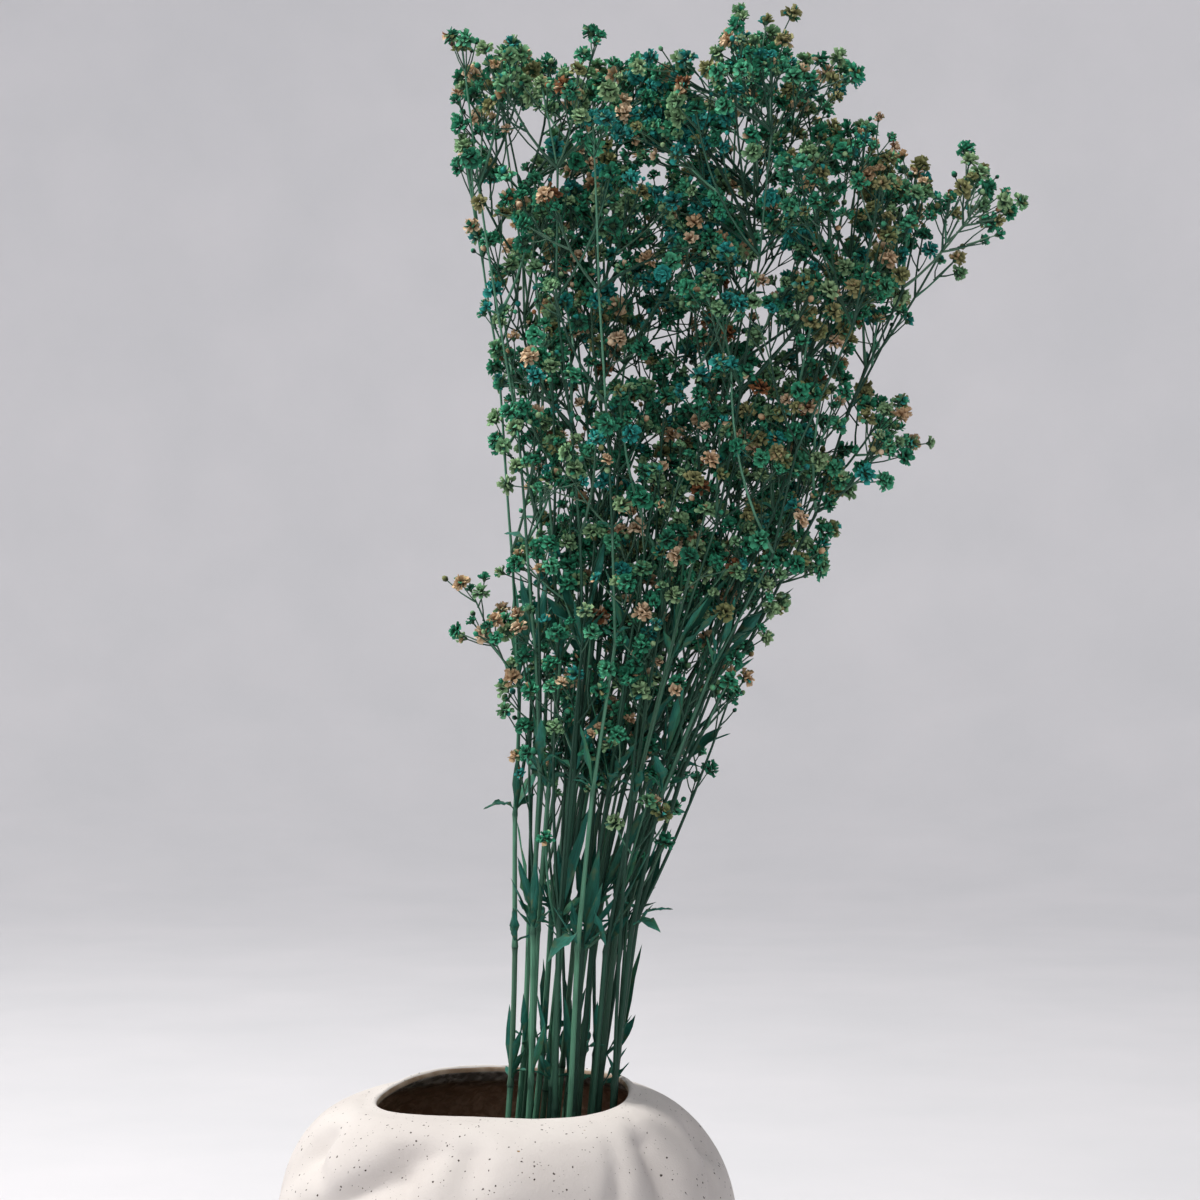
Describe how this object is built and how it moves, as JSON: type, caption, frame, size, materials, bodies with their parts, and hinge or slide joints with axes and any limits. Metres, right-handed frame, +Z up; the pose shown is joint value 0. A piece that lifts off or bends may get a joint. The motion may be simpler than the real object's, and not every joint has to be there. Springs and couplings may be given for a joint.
{
  "type": "dried gypsophila in vase",
  "caption": "Bunch of dyed, dried gypsophila with ruffled blooms on forked stems, leaning in a squat pinched vase of speckled matte ceramic.",
  "frame": {"origin": "middle of the vase's flat foot, on the surface it stands on", "axes": "+Z up along the vase; the bunch leans towards +X; -Y faces the picture's camera"},
  "size_m": [0.2927, 0.1859, 0.5906],
  "materials": {
    "vase": "matte off-white with small dark speckles",
    "dried_gypsophila": "matte, dyed deep green-teal, with turquoise, olive and withered tan blooms"
  },
  "bodies": {
    "root": {"vase": "vase", "spray_01": "dried_gypsophila", "spray_02": "dried_gypsophila", "spray_03": "dried_gypsophila", "spray_04": "dried_gypsophila", "spray_05": "dried_gypsophila", "spray_06": "dried_gypsophila", "spray_07": "dried_gypsophila", "spray_08": "dried_gypsophila", "spray_09": "dried_gypsophila", "spray_10": "dried_gypsophila", "spray_11": "dried_gypsophila", "spray_12": "dried_gypsophila", "spray_13": "dried_gypsophila", "spray_14": "dried_gypsophila", "spray_15": "dried_gypsophila", "spray_16": "dried_gypsophila", "spray_17": "dried_gypsophila", "spray_18": "dried_gypsophila", "spray_19": "dried_gypsophila", "spray_20": "dried_gypsophila", "spray_21": "dried_gypsophila", "spray_22": "dried_gypsophila", "spray_23": "dried_gypsophila", "spray_24": "dried_gypsophila"}
  },
  "joints": []
}
